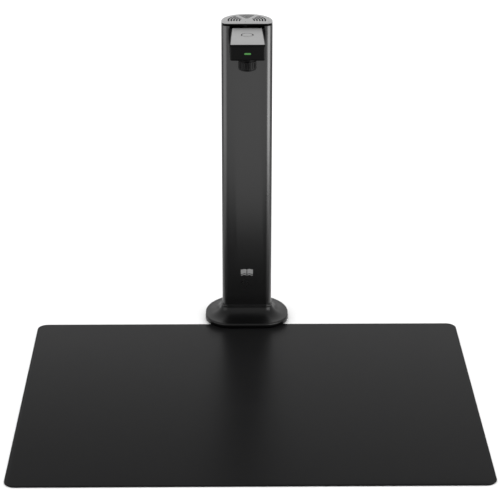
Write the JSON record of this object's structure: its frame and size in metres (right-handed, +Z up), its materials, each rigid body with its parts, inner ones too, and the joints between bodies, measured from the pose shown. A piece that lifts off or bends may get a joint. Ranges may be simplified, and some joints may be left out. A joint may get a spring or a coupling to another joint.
{
  "type": "desk book scanner",
  "caption": "Desk book scanner: camera head hinged at the top of a D-shaped column on a weighted flared foot, with a flat rectangular scanning mat in front.",
  "frame": {"origin": "on the table, under the axis of the column's round back", "axes": "+Z up, -Y towards the user and the mat's front edge, +X to the user's right"},
  "size_m": [0.47, 0.4402, 0.3476],
  "materials": {
    "mat_face": "matte grained synthetic leather",
    "soft_rubber": "matt rubber",
    "black_shell": "satin black plastic",
    "column_grey": "satin dark grey",
    "cap_grey": "satin mid grey",
    "head_black": "fine satin black",
    "dark_steel": "blackened steel",
    "plain_steel": "zinc-plated sheet",
    "screw_steel": "plated steel",
    "board_green": "solder mask",
    "board_white": "white solder mask",
    "spacer_brass": "turned brass",
    "chip_black": "moulded black",
    "fin_aluminium": "extruded fins",
    "ribbon_white": "flat ribbon",
    "socket_metal": "stamped shell",
    "mesh_cloth": "acoustic cloth",
    "cone_paper": "pressed cone",
    "washer_plastic": "acetal",
    "status_green": "lit green light guide",
    "lens_glass": "coated glass",
    "sensor_blue": "sensor die under glass",
    "diffuser_white": "opal diffuser"
  },
  "bodies": {
    "stand": {"base_shell": "black_shell", "base_plate": "dark_steel", "ballast_weight": "plain_steel", "rubber_feet": "soft_rubber", "base_screws": "screw_steel", "foot_collar": "column_grey", "column_shell": "column_grey", "column_spine": "plain_steel", "spine_screws": "screw_steel", "main_board": "board_green", "board_spacers": "spacer_brass", "processor": "chip_black", "heat_spreader": "fin_aluminium", "signal_ribbon": "ribbon_white", "port_board": "board_green", "usb_socket": "socket_metal", "port_bezel": "black_shell", "top_cap": "cap_grey", "grille_mesh": "mesh_cloth", "speaker_frame": "chip_black", "speaker_cone": "cone_paper", "speaker_magnet": "plain_steel", "microphone": "chip_black", "hinge_bracket": "dark_steel", "hinge_pin": "screw_steel", "friction_washers": "washer_plastic", "pin_clips": "screw_steel"},
    "camera_head": {"head_case": "head_black", "head_cover": "cap_grey", "hinge_knuckle": "head_black", "knuckle_screws": "screw_steel", "head_screws_set": "dark_steel", "dome_switch": "socket_metal", "switch_board": "board_green", "status_lens": "status_green", "status_led": "board_green", "lens_barrel": "head_black", "rear_lens": "lens_glass", "front_lens": "lens_glass", "lens_retainer": "chip_black", "image_sensor": "sensor_blue", "sensor_board": "board_green", "light_board": "board_white", "light_diffuser": "diffuser_white"},
    "scan_mat": {"mat_surface": "mat_face", "mat_backing": "soft_rubber"},
    "scan_button": {"scan_button": "cap_grey"},
    "focus_ring": {"focus_ring": "head_black"}
  },
  "joints": [
    {"name": "head_tilt", "type": "hinge", "parent": "stand", "child": "camera_head", "pos_m": [0, -0.003, 0.3336], "axis": [1, 0, 0], "range_deg": [0, 35]},
    {"name": "mat_slide", "type": "slide", "parent": "stand", "child": "scan_mat", "axis": [0, -1, 0], "range_m": [0, 0.06]},
    {"name": "button_press", "type": "slide", "parent": "camera_head", "child": "scan_button", "axis": [0, 0, -1], "range_m": [0, 0.0008], "stiffness_N_per_m": 900, "springref_m": -0.0006},
    {"name": "focus_turn", "type": "hinge", "parent": "camera_head", "child": "focus_ring", "pos_m": [0, -0.055, 0.315], "axis": [0, 0, 1], "range_deg": [-60, 60]}
  ]
}
